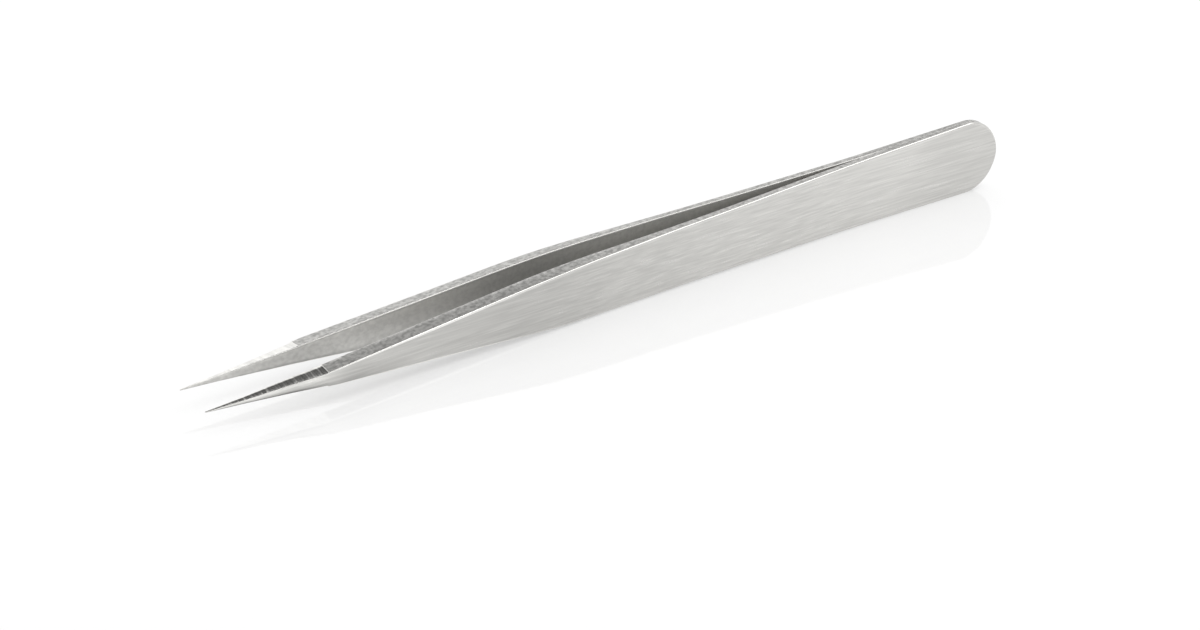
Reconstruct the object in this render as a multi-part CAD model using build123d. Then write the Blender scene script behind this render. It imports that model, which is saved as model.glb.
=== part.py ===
"""Fine-point tweezers: two mirrored steel arms, welded at the butt and ground to needle tips.

Units are millimetres. X runs along the length, with the tips towards -X and the butt towards +X.
Y runs across the two arms, and the pair is symmetric about Y = 0. The tweezers stand on the lower
narrow edges of both arms, which touch the ground at the knee and at the butt, at Z = 0. The origin is
the centre of the footprint on the ground.

The arms are drawn with their centre line along X at Z = 0, and u is the distance from the tips. The
finished pair is then tipped by the small angle at which its lower edges touch the ground.
"""
from math import acos, atan2, cos, degrees, hypot, radians, sin, tan
import os

from build123d import *

# Overall
overall_length = 120.0

# Outline of an arm seen from the side, as full widths at distances from the tips
tip_width = 0.12
needle_length = 5.0
needle_width = 0.7
ground_length = 15.3
ground_width = 2.28
knee_from_tip = 49.0
knee_width = 7.8
waist_from_tip = 76.0
waist_width = 8.4
butt_width = 10.4
butt_flat = 0.6
knee_radius = 200.0
waist_radius = 500.0

# Gap between the inner faces, seen from above, at distances from the tips
tip_gap = 6.2
grip_end_from_tip = 46.0
grip_gap = 3.72
spring_end_from_tip = 66.0
spring_gap = 2.98
weld_length = 23.6
root_radius = 100.0
spring_bend_radius = 400.0
grip_bend_radius = 900.0

# Thickness of one arm at the middle of its width
butt_thickness = 0.78
spring_thickness = 1.1
grip_thickness = 1.87
tip_thickness = 0.12
butt_taper_length = 24.0
shoulder_end_from_tip = 48.0
shoulder_length = 20.0
point_taper_lead = 0.2
butt_taper_radius = 200.0
shoulder_start_radius = 400.0
shoulder_end_radius = 200.0
point_taper_radius = 30.0

# Finishing of the edges and faces
crown_radius = 80.0
outer_edge_radius = 0.4
inner_edge_break = 0.12

# Ground tips: the depth of cut at their start, the slant of their flats, and how far their outer face
# bulges as a share of its half width
ground_depth = 0.06
flat_slant = 6.0
start_bulge = 0.12
point_bulge = 0.3

# Room that the rough stock has beyond the finished part, and the bar beyond the start of its ground tip
stock = 8.0
trim = 3.0

# The most that a bend may take of the shorter run beside it
bend_share = 0.45

half_length = overall_length / 2
point_middle = (needle_length + ground_length) / 2
point_taper_from_tip = ground_length + point_taper_lead
shoulder_start_from_tip = shoulder_end_from_tip + shoulder_length
root_from_tip = overall_length - weld_length
butt_taper_from_tip = overall_length - butt_taper_length
butt_corner_radius = (butt_width - butt_flat) / 2

# Pairs of a distance from the tips and a value there, joined by straight lines
width_stations = (
    (0, tip_width),
    (needle_length, needle_width),
    (ground_length, ground_width),
    (knee_from_tip, knee_width),
    (waist_from_tip, waist_width),
    (overall_length, butt_width),
)
gap_stations = (
    (0, tip_gap),
    (grip_end_from_tip, grip_gap),
    (spring_end_from_tip, spring_gap),
    (root_from_tip, 0),
    (overall_length, 0),
)
thickness_stations = (
    (0, tip_thickness),
    (point_taper_from_tip, grip_thickness),
    (shoulder_end_from_tip, grip_thickness),
    (shoulder_start_from_tip, spring_thickness),
    (butt_taper_from_tip, spring_thickness),
    (overall_length, butt_thickness),
)


def along(stations, u):
    """The value at u on the line through the stations, which runs on past both ends."""
    for (u1, v1), (u2, v2) in zip(stations, stations[1:]):
        if u <= u2:
            break
    return v1 + (v2 - v1) * (u - u1) / (u2 - u1)


def x_at(u):
    """The place along X that lies u from the tips."""
    return u - half_length


def half_width(u):
    """Half the width of the outline before its corners are rounded."""
    return along(width_stations, u) / 2


def inner_y(u):
    """Distance of the inner face from the middle plane before its corners are rounded."""
    return along(gap_stations, u) / 2


def outer_y(u):
    """Distance of the outer face from the middle plane, at the middle of its width."""
    return inner_y(u) + along(thickness_stations, u)


def bent_line(stations, across, radii):
    """A wire in the XY plane through (u, across(u)), run on past both ends, with rounded bends."""
    stations = (stations[0] - stock, *stations[1:-1], stations[-1] + stock)
    points = [Vector(x_at(u), across(u)) for u in stations]
    bends = zip(points, points[1:], points[2:], radii)
    return FilletPolyline(*points, radius=[fitting_radius(*bend) for bend in bends])


def fitting_radius(before, corner, after, radius):
    """The radius of a bend, or less where the runs beside the corner are too short for it."""
    run_in, run_out = corner - before, after - corner
    turn = radians(run_in.get_angle(run_out))
    return min(radius, bend_share * min(run_in.length, run_out.length) / tan(turn / 2))


def outer_line():
    """The line of the outer face, seen from above."""
    stations = (0, point_taper_from_tip, shoulder_end_from_tip, shoulder_start_from_tip,
                butt_taper_from_tip, overall_length)
    radii = (point_taper_radius, shoulder_end_radius, shoulder_start_radius, butt_taper_radius)
    return bent_line(stations, outer_y, radii)


def inner_line():
    """The line of the inner face, seen from above: flat on the middle plane at the weld, then open."""
    stations = (0, grip_end_from_tip, spring_end_from_tip, root_from_tip, overall_length)
    radii = (grip_bend_radius, spring_bend_radius, root_radius)
    return bent_line(stations, inner_y, radii)


def crowned_stock():
    """A long bar whose outer face follows the outer line and is slightly round across its width."""
    path = outer_line()
    section_plane = Plane(origin=path @ 0, x_dir=(0, 0, 1), z_dir=path % 0)
    fall = crown_radius - (crown_radius**2 - stock**2) ** 0.5
    crown = ThreePointArc((-stock, fall), (0, 0), (stock, fall))
    back = Polyline((stock, fall), (stock, stock), (-stock, stock), (-stock, fall))
    section = section_plane * make_face([crown, back])
    return sweep(section, path=path)


def gap_side():
    """Everything on the outer side of the inner line, as one block."""
    line = inner_line()
    far = Polyline(line @ 1, line @ 1 + (0, stock), line @ 0 + (0, stock), line @ 0)
    return extrude(make_face([*line.edges(), *far.edges()]), amount=stock, both=True)


def side_outline():
    """The bar's outline seen from the side, as one block across Y."""
    stations = (ground_length - trim, knee_from_tip, waist_from_tip, overall_length)
    upper = [(x_at(u), along(width_stations[2:], u) / 2) for u in stations]
    lower = [(x, -z) for x, z in reversed(upper)]
    face = make_face(Polyline(*upper, *lower, close=True))

    def corners(u):
        return [v for v in face.vertices() if abs(v.X - x_at(u)) < 0.001]

    for u, radius in ((knee_from_tip, knee_radius), (waist_from_tip, waist_radius),
                      (overall_length, butt_corner_radius)):
        face = fillet(corners(u), radius)
    return extrude(Plane.XZ * face, amount=stock, both=True)


def cut_at(u):
    """The plane across the arm that lies u from the tips, facing the butt."""
    return Plane(origin=(x_at(u), 0, 0), x_dir=(0, 1, 0), z_dir=(1, 0, 0))


def rim(solid, facing, cuts):
    """The edges between the broad faces that look along facing and the narrow faces round them.

    The faces left by the cuts, at these distances from the tips, have no finished edge.
    """
    def is_cut(face):
        return any(abs(face.center().X - x_at(u)) < 0.001 for u in cuts)

    broad = [f for f in solid.faces() if f.normal_at().dot(facing) > 0.7]
    narrow = [f for f in solid.faces() if abs(f.normal_at().Y) < 0.3 and not is_cut(f)]
    around = [e for f in narrow for e in f.edges()]
    return [e for f in broad for e in f.edges() if any(e.is_same(other) for other in around)]


def tip_section(u, bulge):
    """The section of the ground tip at u: flat towards the gap, slanted flats, and a bulging outer face."""
    depth = ground_depth * u / ground_length
    inner, outer = inner_y(u), outer_y(u) - depth
    half_inner = half_width(u) - depth
    half_outer = half_inner - (outer - inner) * tan(radians(flat_slant))
    edge = outer - bulge * half_outer
    sides = Polyline((edge, half_outer), (inner, half_inner), (inner, -half_inner), (edge, -half_outer))
    face = ThreePointArc((edge, -half_outer), (outer, 0), (edge, half_outer))
    return cut_at(u) * make_face([*sides.edges(), face])


def ground_tip():
    """The point that is ground on the end of the arm."""
    slender = [tip_section(u, point_bulge) for u in (0, needle_length, point_middle)]
    return loft([*slender, tip_section(ground_length, start_bulge)])


def arm():
    """One arm, on the +Y side, with its centre line along X."""
    bar = crowned_stock() & gap_side() & side_outline()
    bar = fillet(rim(bar, Vector(0, 1, 0), [ground_length - trim]), outer_edge_radius)
    bar = split(bar, bisect_by=cut_at(ground_length), keep=Keep.TOP)

    root = root_from_tip + root_tangent()
    spring = split(bar, bisect_by=cut_at(root), keep=Keep.BOTTOM)
    weld = split(bar, bisect_by=cut_at(root), keep=Keep.TOP)
    spring = chamfer(rim(spring, Vector(0, -1, 0), [ground_length, root]), inner_edge_break)
    return ground_tip() + spring + weld


def root_tangent():
    """How far past the sharp root the rounded bend of the inner face reaches."""
    opening = atan2(spring_gap / 2, root_from_tip - spring_end_from_tip)
    return root_radius * tan(opening / 2)


def rest_tilt():
    """The angle, in degrees, between the centre line and the line on which the lower edges stand.

    That line touches the round of the knee and the round of the butt's corner.
    """
    taper = atan2(knee_width - ground_width, 2 * (knee_from_tip - ground_length))
    handle = atan2(waist_width - knee_width, 2 * (waist_from_tip - knee_from_tip))
    butt = atan2(butt_width - waist_width, 2 * (overall_length - waist_from_tip))
    half_angle = (taper + handle) / 2
    setback = knee_radius / cos((taper - handle) / 2)
    knee_u = knee_from_tip + setback * sin(half_angle)
    knee_z = knee_width / 2 - setback * cos(half_angle)
    butt_u = overall_length - butt_corner_radius
    butt_z = half_width(butt_u) - butt_corner_radius / cos(butt)
    reach = hypot(butt_u - knee_u, butt_z - knee_z)
    slope = atan2(butt_z - knee_z, butt_u - knee_u)
    touch = slope + acos((knee_radius - butt_corner_radius) / reach)
    return degrees(touch) - 90


rear = Rot(Y=-rest_tilt()) * arm()
box = rear.bounding_box()
rear_arm = Pos(-box.center().X, 0, -box.min.Z) * rear
front_arm = mirror(rear_arm, about=Plane.XZ)

os.makedirs("parts", exist_ok=True)
export_step(rear_arm, "parts/rear_arm.step")
export_step(front_arm, "parts/front_arm.step")
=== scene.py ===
"""Fine-point tweezers: two brushed steel arms, welded at the butt, on a pale floor."""

from math import cos, pi, radians, sin

import bpy
from mathutils import Euler, Matrix, Vector

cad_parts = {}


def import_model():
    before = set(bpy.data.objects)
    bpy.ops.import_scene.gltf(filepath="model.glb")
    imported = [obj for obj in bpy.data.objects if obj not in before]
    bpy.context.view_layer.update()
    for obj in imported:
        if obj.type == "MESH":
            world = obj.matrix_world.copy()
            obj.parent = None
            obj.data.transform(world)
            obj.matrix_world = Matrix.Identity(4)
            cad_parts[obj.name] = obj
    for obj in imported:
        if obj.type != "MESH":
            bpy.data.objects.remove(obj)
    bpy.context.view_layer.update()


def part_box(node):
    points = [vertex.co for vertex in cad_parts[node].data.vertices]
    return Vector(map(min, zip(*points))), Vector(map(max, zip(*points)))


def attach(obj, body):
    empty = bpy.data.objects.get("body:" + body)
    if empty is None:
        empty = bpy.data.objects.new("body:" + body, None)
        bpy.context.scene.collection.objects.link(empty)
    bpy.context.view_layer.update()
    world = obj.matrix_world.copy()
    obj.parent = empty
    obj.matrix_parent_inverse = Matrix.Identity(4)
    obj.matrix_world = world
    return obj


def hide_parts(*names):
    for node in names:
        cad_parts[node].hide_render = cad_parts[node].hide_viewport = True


MM = 0.001

# Sizes of one arm in millimetres and degrees, at distances from the tips where the name says so
ARM_SIZES = {
    "Overall length": 120.0,
    "Tip width": 0.12,
    "Needle length": 5.0,
    "Needle width": 0.7,
    "Ground length": 15.3,
    "Ground width": 2.28,
    "Knee from tip": 49.0,
    "Knee width": 7.8,
    "Waist from tip": 76.0,
    "Waist width": 8.4,
    "Butt width": 10.4,
    "Butt corner radius": 4.9,
    "Knee radius": 200.0,
    "Waist radius": 500.0,
    "Tip gap": 6.2,
    "Grip end from tip": 46.0,
    "Grip gap": 3.72,
    "Spring end from tip": 66.0,
    "Spring gap": 2.98,
    "Root from tip": 97.6,
    "Root radius": 40.0,
    "Spring bend radius": 400.0,
    "Grip bend radius": 900.0,
    "Tip thickness": 0.12,
    "Grip thickness": 2.0,
    "Spring thickness": 1.13,
    "Butt thickness": 0.8,
    "Point taper from tip": 15.5,
    "Shoulder end from tip": 48.0,
    "Shoulder start from tip": 68.0,
    "Butt taper from tip": 96.0,
    "Point taper radius": 30.0,
    "Shoulder end radius": 200.0,
    "Shoulder start radius": 400.0,
    "Butt taper radius": 200.0,
    "Crown radius": 80.0,
    "Outer corner radius": 0.24,
    "Inner corner radius": 0.13,
    "Slant of edges": 0.2,
    "Extra slant of flats": 0.45,
    "Slant end from tip": 40.0,
    "Slant start from tip": 86.0,
    "Ground depth": 0.02,
    "Start bulge": 0.12,
    "Point bulge": 0.3,
}
REST_TILT = 1.07132

# Small rounds and blends of the mesh: lengths in millimetres, and shares of the size that is beside them
NEEDLE_BEND_RADIUS = 4.0
LEAST_BEND = 0.0001
LEAST_WIDTH = 0.01
ROUND_OF_THICKNESS = 0.3
ROUND_OF_WIDTH = 0.1
BREAK_OF_THICKNESS = 0.1
BREAK_LEFT_IN_WELD = 0.15
WELD_BLEND_LENGTH = 4.0
GROUND_DEPTH_FADE = (0.9, 1.1)
CROWN_FADE = (0.93, 1.12)
NEEDLES_OF_FULL_BULGE = 2.0
FACE_MARGIN = 0.001

# How finely the arm's mesh is divided: rows along it, and points round its section
TIP_ZONE_END, TIP_ROW_STEP = 16.0, 0.16
BUTT_ZONE, BUTT_ROWS = 6.0, 56
MIDDLE_ROW_STEP = 0.45
FACE_COLUMNS, CORNER_STEPS, EDGE_STEPS, INNER_COLUMNS = 22, 6, 4, 12
STEP_LENGTH = 0.3

# Finishes of the arm's faces, as numbers that the mesh carries
BRUSHED, POLISHED, SATIN, INSIDE, FLAT = range(5)

# The camera, in millimetres and degrees
CAMERA_PLACE = (-202.317, -292.973, 183.914)
CAMERA_AIM = (-3.234, -0.055, -2.013)
CAMERA_ROLL = 0.587
CAMERA_LENS = 95.985
SENSOR = 36.0
NEAR_CLIP, FAR_CLIP = 0.01, 20

# Light and floor: elevations in degrees, lengths in metres, power in watts
BRIGHT_UP_TO, DIM_FROM, DIM_GREY = 42, 51, 0.08
LAMP_PLACE, LAMP_SIZE, LAMP_POWER = (0.56, -0.12, 0.95), 0.7, 3.6
FLOOR_REACH, FLOOR_GREY, FLOOR_GLOW = 4.0, 0.42, 0.44
FLOOR_ROUGHNESS, FLOOR_IOR = 0.04, 1.8

STEEL_TINT = (1.0, 0.99, 0.957)
WHITE = (1, 1, 1)


class Field:
    """A number or field in a node tree. Plain arithmetic on it adds Math nodes."""

    def __init__(self, tree, socket):
        self.tree = tree
        self.socket = socket

    def math(self, operation, *others):
        node = self.tree.nodes.new("ShaderNodeMath")
        node.operation = operation
        for place, value in enumerate((self, *others)):
            if isinstance(value, Field):
                self.tree.links.new(value.socket, node.inputs[place])
            else:
                node.inputs[place].default_value = value
        return Field(self.tree, node.outputs[0])

    def __add__(self, other):
        return self.math("ADD", other)

    def __sub__(self, other):
        return self.math("SUBTRACT", other)

    def __mul__(self, other):
        return self.math("MULTIPLY", other)

    def __truediv__(self, other):
        return self.math("DIVIDE", other)

    def least(self, other):
        return self.math("MINIMUM", other)

    def most(self, other):
        return self.math("MAXIMUM", other)

    def below(self, other):
        return self.math("LESS_THAN", other)

    def size(self):
        return self.math("ABSOLUTE")

    def root(self):
        return self.most(0.0).math("SQRT")

    def left(self):
        """One less the field."""
        return self * -1.0 + 1.0

    def share(self, start, end):
        """How far the field is from start to end, held between 0 and 1."""
        node = self.tree.nodes.new("ShaderNodeMapRange")
        node.interpolation_type = "SMOOTHSTEP"
        for name, value in (("Value", self), ("From Min", start), ("From Max", end)):
            if isinstance(value, Field):
                self.tree.links.new(value.socket, node.inputs[name])
            else:
                node.inputs[name].default_value = value
        return Field(self.tree, node.outputs["Result"])


def attribute(tree, name):
    """A named attribute of the mesh as a field."""
    node = tree.nodes.new("GeometryNodeInputNamedAttribute")
    node.data_type = "FLOAT"
    node.inputs["Name"].default_value = name
    return Field(tree, node.outputs["Attribute"])


def rounded_line(u, stations, radii):
    """A line through pairs of place and value, whose inner corners are rounded to these radii."""
    slopes = [(v2 - v1) / (p2 - p1) for (p1, v1), (p2, v2) in zip(stations, stations[1:])]
    start, value = stations[0]
    line = (u - start) * slopes[0] + value
    for (place, _), before, after, radius in zip(stations[1:], slopes, slopes[1:], radii):
        turn = after - before
        half = turn.size() * radius * 0.5 + LEAST_BEND
        into = (u - place + half).most(0.0)
        within = into.least(half * 2.0)
        beyond = (into - half * 2.0).most(0.0)
        line = line + turn * (within * within / (half * 4.0) + beyond)
    return line


def section_fields(tree, sizes, u, spread, corner, side):
    """Where a point of the section lies across the arm and up it, for its place round the section."""
    zero = u * 0.0
    half = [(place, sizes[name] * 0.5) for place, name in (
        (zero, "Tip width"), (sizes["Needle length"], "Needle width"),
        (sizes["Ground length"], "Ground width"), (sizes["Knee from tip"], "Knee width"),
        (sizes["Waist from tip"], "Waist width"), (sizes["Overall length"], "Butt width"))]
    needle_bend = zero + NEEDLE_BEND_RADIUS
    outline = rounded_line(u, half, (needle_bend, needle_bend, sizes["Knee radius"], sizes["Waist radius"]))

    inner_stations = [(zero, sizes["Tip gap"] * 0.5), (sizes["Grip end from tip"], sizes["Grip gap"] * 0.5),
                      (sizes["Spring end from tip"], sizes["Spring gap"] * 0.5),
                      (sizes["Root from tip"], zero), (sizes["Overall length"], zero)]
    inner = rounded_line(u, inner_stations,
                         (sizes["Grip bend radius"], sizes["Spring bend radius"], sizes["Root radius"]))

    def sharp_inner(place):
        return rounded_line(place, inner_stations, (zero, zero, zero))

    outer_stations = [(place, sharp_inner(place) + sizes[name]) for place, name in (
        (zero, "Tip thickness"), (sizes["Point taper from tip"], "Grip thickness"),
        (sizes["Shoulder end from tip"], "Grip thickness"),
        (sizes["Shoulder start from tip"], "Spring thickness"),
        (sizes["Butt taper from tip"], "Spring thickness"), (sizes["Overall length"], "Butt thickness"))]
    outer = rounded_line(u, outer_stations, [sizes[name] for name in (
        "Point taper radius", "Shoulder end radius", "Shoulder start radius", "Butt taper radius")])

    ground = u.below(sizes["Ground length"] + STEP_LENGTH / 2)
    depth = sizes["Ground depth"] * u / sizes["Ground length"]
    outer = outer - depth * u.share(*(sizes["Ground length"] * part for part in GROUND_DEPTH_FADE)).left()
    slant = sizes["Slant of edges"] * (ground * sizes["Extra slant of flats"] + 1.0)
    slant = slant * (outer - inner) / sizes["Grip thickness"]
    slant = slant * u.share(sizes["Slant end from tip"], sizes["Slant start from tip"]).left()

    end_radius = sizes["Butt corner radius"]
    end_start = sizes["Overall length"] - end_radius
    end_centre = rounded_line(end_start, half[3:], (zero,)) - end_radius
    past = (u - end_start).most(0.0)
    outline = outline.least((end_radius * end_radius - past * past).root() + end_centre)
    outline = outline - ground * depth
    reach = outline - slant * side

    thickness = outer - inner
    radius = sizes["Outer corner radius"].least(thickness * ROUND_OF_THICKNESS)
    radius = radius.least(outline * ROUND_OF_WIDTH)
    welded = u.share(sizes["Root from tip"], sizes["Root from tip"] + WELD_BLEND_LENGTH)
    break_radius = sizes["Inner corner radius"] * (welded * (BREAK_LEFT_IN_WELD - 1.0) + 1.0)
    break_radius = break_radius.least(thickness * BREAK_OF_THICKNESS).least(outline * ROUND_OF_WIDTH)
    on_outer = side.below(1.0 - FACE_MARGIN).left()
    on_inner = side.below(FACE_MARGIN)
    round_here = radius * on_outer + break_radius * on_inner
    up = spread * (reach - round_here) + corner * round_here

    above = (up.size() - end_centre).most(0.0)
    to_end = end_radius - (past * past + above * above).root()
    to_edge = to_end.least(reach - up.size()).most(0.0)
    into = (round_here - to_edge).most(0.0)
    fall = round_here - (round_here * round_here - into * into).root()

    past_needle = u.share(sizes["Needle length"] * NEEDLES_OF_FULL_BULGE, sizes["Ground length"])
    bulge = sizes["Point bulge"] + (sizes["Start bulge"] - sizes["Point bulge"]) * past_needle
    round_tip = bulge / (outline - slant).most(LEAST_WIDTH)
    crown = (zero + 0.5) / sizes["Crown radius"]
    past_ground = u.share(*(sizes["Ground length"] * part for part in CROWN_FADE))
    curve = round_tip * past_ground.left() + crown * past_ground
    outer_face = outer - up * up * curve
    edge_outer = outer - reach * reach * curve - radius
    edge_inner = inner + break_radius
    on_edge = (on_outer + on_inner).left()
    across = (outer_face - fall) * on_outer + (inner + fall) * on_inner
    across = across + (edge_inner + (edge_outer - edge_inner) * side) * on_edge
    return across, up


def arm_tree(materials):
    """A node tree that bends and trims the blank into one arm by named sizes, and gives it its finishes."""
    tree = bpy.data.node_groups.new("tweezer_arm", "GeometryNodeTree")
    tree.interface.new_socket("Geometry", in_out="INPUT", socket_type="NodeSocketGeometry")
    for name in ARM_SIZES:
        tree.interface.new_socket(name, in_out="INPUT", socket_type="NodeSocketFloat")
    tree.interface.new_socket("Geometry", in_out="OUTPUT", socket_type="NodeSocketGeometry")
    entry = tree.nodes.new("NodeGroupInput")
    sizes = {name: Field(tree, entry.outputs[name]) for name in ARM_SIZES}

    u = attribute(tree, "along")
    across, up = section_fields(tree, sizes, u, *(attribute(tree, n) for n in ("spread", "corner", "side")))
    along = u - sizes["Overall length"] * 0.5
    place = tree.nodes.new("ShaderNodeCombineXYZ")
    for axis, value in zip("XYZ", (along, across, up)):
        tree.links.new((value * MM).socket, place.inputs[axis])
    shape = tree.nodes.new("GeometryNodeSetPosition")
    tree.links.new(entry.outputs["Geometry"], shape.inputs["Geometry"])
    tree.links.new(place.outputs["Vector"], shape.inputs["Position"])
    real = tree.nodes.new("GeometryNodeRealizeInstances")
    tree.links.new(shape.outputs["Geometry"], real.inputs["Geometry"])
    made = real.outputs["Geometry"]

    finish = attribute(tree, "finish")
    for number, material in enumerate(materials):
        paint = tree.nodes.new("GeometryNodeSetMaterial")
        paint.inputs["Material"].default_value = material
        here = (finish - number).size().below(0.5)
        tree.links.new(made, paint.inputs["Geometry"])
        tree.links.new(here.socket, paint.inputs["Selection"])
        made = paint.outputs["Geometry"]
    leave = tree.nodes.new("NodeGroupOutput")
    tree.links.new(made, leave.inputs["Geometry"])
    return tree


def row_places():
    """The distances from the tips at which the blank has a row, closest at the tips and the butt."""
    length, ground = ARM_SIZES["Overall length"], ARM_SIZES["Ground length"]
    tip_rows = int(TIP_ZONE_END / TIP_ROW_STEP)
    rows = [TIP_ZONE_END * i / tip_rows for i in range(tip_rows)]
    rows = [u for u in rows if abs(u - ground) > TIP_ROW_STEP / 2] + [ground, ground + STEP_LENGTH]
    middle = length - BUTT_ZONE - TIP_ZONE_END
    count = round(middle / MIDDLE_ROW_STEP)
    rows += [TIP_ZONE_END + middle * i / count for i in range(count)]
    rows += [length - BUTT_ZONE * (1 - sin(pi / 2 * i / BUTT_ROWS)) for i in range(BUTT_ROWS + 1)]
    return sorted(rows)


def section_points():
    """The points round the section as (spread, corner, side, finish of the face that follows)."""
    points = []

    def corner_steps(side, up, first, last, finish):
        for i in range(CORNER_STEPS):
            turn = pi / 2 * (first + (last - first) * i / CORNER_STEPS)
            points.append((up, up * cos(turn), side, finish))

    def face(side, first, last, count, finish):
        for i in range(count):
            points.append((first + (last - first) * i / count, 0.0, side, finish))

    def edge(first, last, up):
        for i in range(EDGE_STEPS):
            points.append((up, up, first + (last - first) * i / EDGE_STEPS, SATIN))

    corner_steps(1.0, 1.0, 0.0, 1.0, POLISHED)
    face(1.0, 1.0, -1.0, FACE_COLUMNS, BRUSHED)
    corner_steps(1.0, -1.0, 1.0, 0.0, POLISHED)
    edge(1.0, 0.0, -1.0)
    corner_steps(0.0, -1.0, 0.0, 1.0, POLISHED)
    face(0.0, -1.0, 1.0, INNER_COLUMNS, INSIDE)
    corner_steps(0.0, 1.0, 1.0, 0.0, POLISHED)
    edge(0.0, 1.0, 1.0)
    return points


def finish_at(finish, u):
    """The finish of a face of the section at this distance from the tips."""
    return FLAT if finish == SATIN and u < ARM_SIZES["Ground length"] + STEP_LENGTH else finish


def blank():
    """A straight bar with a row of points for each section, which carry their place in the section."""
    rows, loop = row_places(), section_points()
    around = len(loop)
    vertices = [(u * MM, cos(2 * pi * j / around) * MM, sin(2 * pi * j / around) * MM)
                for u in rows for j in range(around)]
    faces, finishes = [], []
    for i in range(len(rows) - 1):
        for j in range(around):
            after = (j + 1) % around
            faces.append((i * around + j, (i + 1) * around + j, (i + 1) * around + after, i * around + after))
            finishes.append(finish_at(loop[j][3], (rows[i] + rows[i + 1]) / 2))
    faces.append(tuple(range(around)))
    faces.append(tuple((len(rows) - 1) * around + j for j in reversed(range(around))))
    finishes += [FLAT, SATIN]
    mesh = bpy.data.meshes.new("arm_blank")
    mesh.from_pydata(vertices, [], faces)
    columns = list(zip(*[(u, *point[:3]) for u in rows for point in loop]))
    for name, values in zip(("along", "spread", "corner", "side"), columns):
        mesh.attributes.new(name, "FLOAT", "POINT").data.foreach_set("value", values)
    mesh.attributes.new("finish", "FLOAT", "FACE").data.foreach_set("value", finishes)
    mesh.polygons.foreach_set("use_smooth", [True] * len(faces))
    mark_sharp(mesh, around, rows)
    obj = bpy.data.objects.new("arm_blank", mesh)
    bpy.context.scene.collection.objects.link(obj)
    return obj


def mark_sharp(mesh, around, rows):
    """Keeps the shading crisp at both ends and where the ground tip starts."""
    ground = rows.index(ARM_SIZES["Ground length"])
    crisp = {0, ground, ground + 1, len(rows) - 1}
    for edge in mesh.edges:
        first, second = (v // around for v in edge.vertices)
        edge.use_edge_sharp = first == second and first in crisp


def shaped_arm(materials):
    """The rear arm's mesh, made by the node tree from the blank."""
    obj = blank()
    modifier = obj.modifiers.new("arm", "NODES")
    modifier.node_group = arm_tree(materials)
    for item in modifier.node_group.interface.items_tree:
        if item.in_out == "INPUT" and item.name in ARM_SIZES:
            modifier[item.identifier] = ARM_SIZES[item.name]
    depsgraph = bpy.context.evaluated_depsgraph_get()
    mesh = bpy.data.meshes.new_from_object(obj.evaluated_get(depsgraph))
    obj.modifiers.clear()
    bpy.data.objects.remove(obj)
    return mesh


def arm_object(name, mesh, node, mirrored):
    """An arm of the pair, tipped to stand on its lower edges and set on the CAD node that it stands for."""
    mesh = mesh.copy()
    mesh.transform(Matrix.Rotation(radians(-REST_TILT), 4, "Y"))
    if mirrored:
        mesh.transform(Matrix.Diagonal((1, -1, 1, 1)))
        mesh.flip_normals()
    low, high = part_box(node)
    xs = [v.co.x for v in mesh.vertices]
    lift = low.z - min(v.co.z for v in mesh.vertices)
    mesh.transform(Matrix.Translation(((low.x + high.x - min(xs) - max(xs)) / 2, 0, lift)))
    obj = bpy.data.objects.new(name, mesh)
    bpy.context.scene.collection.objects.link(obj)
    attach(obj, "root")
    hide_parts(node)
    return obj


def new_material(name):
    """An empty node material with its shader and output."""
    material = bpy.data.materials.new(name)
    material.use_nodes = True
    return material, material.node_tree, material.node_tree.nodes["Principled BSDF"]


def grain(tree, scale, detail, seed):
    """Noise on the object's own coordinates, stretched by the scale along each axis."""
    place = tree.nodes.new("ShaderNodeTexCoord")
    turn = tree.nodes.new("ShaderNodeMapping")
    turn.inputs["Scale"].default_value = scale
    turn.inputs["Location"].default_value = (seed, seed * 2, seed * 3)
    noise = tree.nodes.new("ShaderNodeTexNoise")
    noise.inputs["Scale"].default_value = 1.0
    noise.inputs["Detail"].default_value = detail
    tree.links.new(place.outputs["Object"], turn.inputs["Vector"])
    tree.links.new(turn.outputs["Vector"], noise.inputs["Vector"])
    return noise.outputs["Fac"]


def ranged(tree, value, low, high, start=0.3, end=0.7):
    """The value spread from low to high."""
    node = tree.nodes.new("ShaderNodeMapRange")
    tree.links.new(value, node.inputs["Value"])
    for name, number in (("From Min", start), ("From Max", end), ("To Min", low), ("To Max", high)):
        node.inputs[name].default_value = number
    return node.outputs["Result"]


def tinted(tree, value, dark, light, low=0.3, high=0.7):
    """A colour between dark and light, by the value."""
    ramp = tree.nodes.new("ShaderNodeValToRGB")
    ramp.color_ramp.elements[0].position = low
    ramp.color_ramp.elements[1].position = high
    ramp.color_ramp.elements[0].color = (*dark, 1)
    ramp.color_ramp.elements[1].color = (*light, 1)
    tree.links.new(value, ramp.inputs["Fac"])
    return ramp.outputs["Color"]


def bump(tree, value, strength, distance):
    """A bump from the value, as a normal."""
    node = tree.nodes.new("ShaderNodeBump")
    node.inputs["Strength"].default_value = strength
    node.inputs["Distance"].default_value = distance
    tree.links.new(value, node.inputs["Height"])
    return node.outputs["Normal"]


def carried(tree, name):
    """A number that the mesh carries, for a shader."""
    node = tree.nodes.new("ShaderNodeAttribute")
    node.attribute_name = name
    return node.outputs["Fac"]


def stepped(tree, value, stops):
    """A grey that follows the value smoothly through pairs of a value and a grey."""
    start, end = stops[0][0], stops[-1][0]
    ramp = tree.nodes.new("ShaderNodeValToRGB")
    ramp.color_ramp.interpolation = "EASE"
    elements = ramp.color_ramp.elements
    while len(elements) < len(stops):
        elements.new(0.5)
    for element, (place, grey) in zip(elements, stops):
        element.position = (place - start) / (end - start)
        element.color = (grey, grey, grey, 1)
    tree.links.new(ranged(tree, value, 0.0, 1.0, start, end), ramp.inputs["Fac"])
    return ramp.outputs["Color"]


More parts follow.
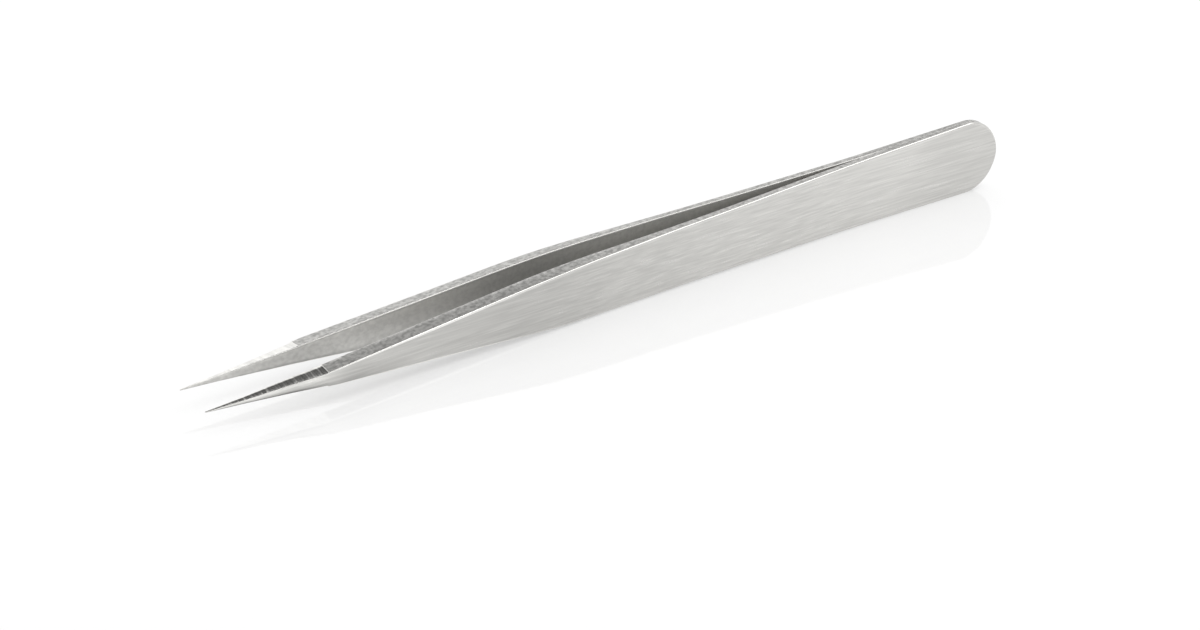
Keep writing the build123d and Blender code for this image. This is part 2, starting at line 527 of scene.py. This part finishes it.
def multiplied(tree, colour, other, share=1.0):
    """One colour multiplied by another, by the share."""
    node = tree.nodes.new("ShaderNodeMixRGB")
    node.blend_type = "MULTIPLY"
    for name, value in (("Color1", colour), ("Color2", other)):
        tree.links.new(value, node.inputs[name])
    if isinstance(share, float):
        node.inputs["Fac"].default_value = share
    else:
        tree.links.new(share, node.inputs["Fac"])
    return node.outputs["Color"]


def steel(name, shades, rough, lines, line_depth, seed, detail=3.0):
    """Bare steel with a grain of the given scale: greys and roughness from low to high, and bump depth."""
    material, tree, shader = new_material(name)
    shader.inputs["Metallic"].default_value = 1.0
    fine = grain(tree, lines, detail, seed)
    dark, light = ([shade * warm for warm in STEEL_TINT] for shade in shades)
    tree.links.new(tinted(tree, fine, dark, light, 0.35, 0.65), shader.inputs["Base Color"])
    tree.links.new(ranged(tree, fine, *rough), shader.inputs["Roughness"])
    tree.links.new(bump(tree, fine, 1.0, line_depth), shader.inputs["Normal"])
    return material, tree, shader


def with_painted_light(tree, shader, along=None, across=None):
    """The shader's colour multiplied by greys that change along the arm and across its width: painted light
    and shade.
    """
    for name, stops in (("along", along), ("spread", across)):
        if stops:
            colour = shader.inputs["Base Color"].links[0].from_socket
            grey = stepped(tree, carried(tree, name), stops)
            tree.links.new(multiplied(tree, colour, grey), shader.inputs["Base Color"])


def brushed_face():
    """The outer face: brushed along its length, with painted light along it that is brighter towards the
    needle, and painted shade at its lower edge near the needle.
    """
    material, tree, shader = steel("brushed_face", shades=(0.87, 1.0), rough=(0.33, 0.27),
                                   lines=(120, 3900, 3900), line_depth=0.0000016, seed=1)
    fine = shader.inputs["Base Color"].links[0].from_socket
    haze = tinted(tree, grain(tree, (110, 600, 600), 2.0, 7), (0.99, 0.99, 0.99), WHITE)
    marks = grain(tree, (75, 6800, 6800), 1.0, 13)
    scratches = tinted(tree, marks, (0.93, 0.93, 0.93), WHITE, 0.55, 0.68)
    colour = multiplied(tree, multiplied(tree, fine, haze), scratches)
    tree.links.new(colour, shader.inputs["Base Color"])
    # Painted light along the outer face: bright at the needle where a highlight falls, darkest near the knee,
    # lighter towards the butt.
    with_painted_light(tree, shader, along=[(6, 1.0), (13, 0.86), (20, 0.65), (45, 0.61), (62, 0.67), (80, 0.72),
                               (102, 0.76), (112, 0.71), (120, 0.69)])
    colour = shader.inputs["Base Color"].links[0].from_socket
    u = carried(tree, "along")
    spread = carried(tree, "spread")
    # Painted light across the outer face near the needle: lighter towards its top, darker downwards, and a
    # dark painted reflection along its lower edge.
    painted_shade_across = stepped(tree, spread, [(-1.0, 0.12), (-0.78, 0.3), (-0.3, 0.66), (0.3, 0.8), (0.8, 1.0)])
    near_tip = stepped(tree, u, [(10.0, 1.0), (17.0, 0.42), (27.0, 0.0)])
    tree.links.new(multiplied(tree, colour, painted_shade_across, near_tip), shader.inputs["Base Color"])
    return material


def polished_rim():
    """The rounded rim and the broken inner corners."""
    material, tree, shader = steel("polished_rim", shades=(0.86, 0.92), rough=(0.24, 0.18),
                                   lines=(200, 2000, 2000), line_depth=0.0000003, seed=2)
    # Painted shade along the rim: its grey falls towards the butt to dim its highlight there.
    with_painted_light(tree, shader, along=[(30, 1.0), (52, 0.7)])
    return material


def satin_edge():
    """The narrow faces, blasted matt."""
    material, tree, shader = steel("satin_edge", shades=(0.36, 0.62), rough=(0.38, 0.26),
                                   lines=(1900, 2300, 2300), line_depth=0.000004, seed=3)
    # Painted shade along the narrow faces: darker towards the butt.
    with_painted_light(tree, shader, along=[(90, 1.0), (108, 0.84)])
    return material


def inner_face():
    """The faces towards the gap, blasted matt, with painted shade along and across them."""
    material, tree, shader = steel("inner_face", shades=(0.74, 0.86), rough=(0.52, 0.42),
                                   lines=(1500, 1900, 1900), line_depth=0.000003, seed=4)
    # Painted shade on the faces towards the gap: darker around 15 mm and 47 mm from the tips, and towards
    # both edges, most at the lower one.
    with_painted_light(tree, shader,
          along=[(0, 0.97), (15, 0.8), (23, 0.95), (32, 0.92), (47, 0.78), (62, 0.97), (80, 1.0)],
          across=[(-1.0, 0.62), (-0.6, 0.85), (0.0, 0.85), (0.5, 0.9), (0.85, 1.0), (1.0, 0.86)])
    return material


def ground_flat():
    """The flats beside the needle, ground across."""
    return steel("ground_flat", shades=(0.8, 1.0), rough=(0.16, 0.1),
                 lines=(1700, 160, 160), line_depth=0.00004, seed=5, detail=1.0)[0]


def seen_white(tree, shader, strength):
    """The shader with white light of this strength added where the camera or a glossy surface sees it."""
    path = tree.nodes.new("ShaderNodeLightPath")
    seen = tree.nodes.new("ShaderNodeMath")
    seen.operation = "MAXIMUM"
    tree.links.new(path.outputs["Is Camera Ray"], seen.inputs[0])
    tree.links.new(path.outputs["Is Glossy Ray"], seen.inputs[1])
    also = tree.nodes.new("ShaderNodeMath")
    also.operation = "MAXIMUM"
    tree.links.new(seen.outputs[0], also.inputs[0])
    tree.links.new(path.outputs["Is Transmission Ray"], also.inputs[1])
    amount = tree.nodes.new("ShaderNodeMath")
    amount.operation = "MULTIPLY"
    amount.inputs[1].default_value = strength
    tree.links.new(also.outputs[0], amount.inputs[0])
    glow = tree.nodes.new("ShaderNodeEmission")
    tree.links.new(amount.outputs[0], glow.inputs["Strength"])
    both = tree.nodes.new("ShaderNodeAddShader")
    tree.links.new(shader, both.inputs[0])
    tree.links.new(glow.outputs[0], both.inputs[1])
    return both.outputs[0]


def floor():
    """A wide, pale and faintly glossy floor that shows white and keeps the shadow."""
    mesh = bpy.data.meshes.new("floor")
    corners = [(x * FLOOR_REACH, y * FLOOR_REACH, 0) for x, y in ((-1, -1), (1, -1), (1, 1), (-1, 1))]
    mesh.from_pydata(corners, [], [(0, 1, 2, 3)])
    obj = bpy.data.objects.new("floor", mesh)
    bpy.context.scene.collection.objects.link(obj)
    material, tree, shader = new_material("pale_floor")
    shader.inputs["Base Color"].default_value = (FLOOR_GREY, FLOOR_GREY, FLOOR_GREY, 1)
    shader.inputs["Roughness"].default_value = FLOOR_ROUGHNESS
    shader.inputs["IOR"].default_value = FLOOR_IOR
    output = tree.nodes["Material Output"]
    tree.links.new(seen_white(tree, shader.outputs[0], FLOOR_GLOW), output.inputs["Surface"])
    mesh.materials.append(material)


def world():
    """Soft white light from all round, of which steel and other gloss see only a dim grey overhead."""
    made = bpy.data.worlds.new("soft_studio")
    bpy.context.scene.world = made
    made.use_nodes = True
    tree = made.node_tree
    place = tree.nodes.new("ShaderNodeTexCoord")
    parts = tree.nodes.new("ShaderNodeSeparateXYZ")
    tree.links.new(place.outputs["Generated"], parts.inputs[0])
    ramp = tree.nodes.new("ShaderNodeValToRGB")
    ramp.color_ramp.interpolation = "EASE"
    ramp.color_ramp.elements[0].position = sin(radians(BRIGHT_UP_TO))
    ramp.color_ramp.elements[0].color = (*WHITE, 1)
    ramp.color_ramp.elements[1].position = sin(radians(DIM_FROM))
    ramp.color_ramp.elements[1].color = (DIM_GREY, DIM_GREY, DIM_GREY, 1)
    tree.links.new(parts.outputs["Z"], ramp.inputs["Fac"])
    path = tree.nodes.new("ShaderNodeLightPath")
    pick = tree.nodes.new("ShaderNodeMixRGB")
    pick.inputs["Color1"].default_value = (*WHITE, 1)
    tree.links.new(path.outputs["Is Glossy Ray"], pick.inputs["Fac"])
    tree.links.new(ramp.outputs["Color"], pick.inputs["Color2"])
    tree.links.new(pick.outputs[0], tree.nodes["Background"].inputs["Color"])
    tree.nodes["Background"].inputs["Strength"].default_value = 1.0


def soft_lamp(name, place, size, power):
    """A square area lamp that faces the middle of the object."""
    light = bpy.data.lights.new(name, "AREA")
    light.size = size
    light.energy = power
    obj = bpy.data.objects.new(name, light)
    bpy.context.scene.collection.objects.link(obj)
    obj.location = place
    obj.rotation_euler = (-Vector(place)).to_track_quat("-Z", "Y").to_euler()


def camera():
    """The camera, where the photograph was taken from."""
    data = bpy.data.cameras.new("camera")
    data.lens = CAMERA_LENS
    data.sensor_width = SENSOR
    obj = bpy.data.objects.new("camera", data)
    bpy.context.scene.collection.objects.link(obj)
    place, aim = Vector(CAMERA_PLACE) * MM, Vector(CAMERA_AIM) * MM
    facing = (aim - place).to_track_quat("-Z", "Y").to_matrix()
    turn = facing @ Euler((0, 0, radians(CAMERA_ROLL))).to_matrix()
    obj.matrix_world = Matrix.Translation(place) @ turn.to_4x4()
    data.clip_start, data.clip_end = NEAR_CLIP, FAR_CLIP
    bpy.context.scene.camera = obj


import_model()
finishes = [brushed_face(), polished_rim(), satin_edge(), inner_face(), ground_flat()]
arm_mesh = shaped_arm(finishes)
arm_object("rear_steel_arm", arm_mesh, "rear_arm", mirrored=False)
arm_object("front_steel_arm", arm_mesh, "front_arm", mirrored=True)
floor()
world()
soft_lamp("high_lamp", LAMP_PLACE, LAMP_SIZE, LAMP_POWER)
camera()
bpy.context.scene.view_settings.view_transform = "Standard"
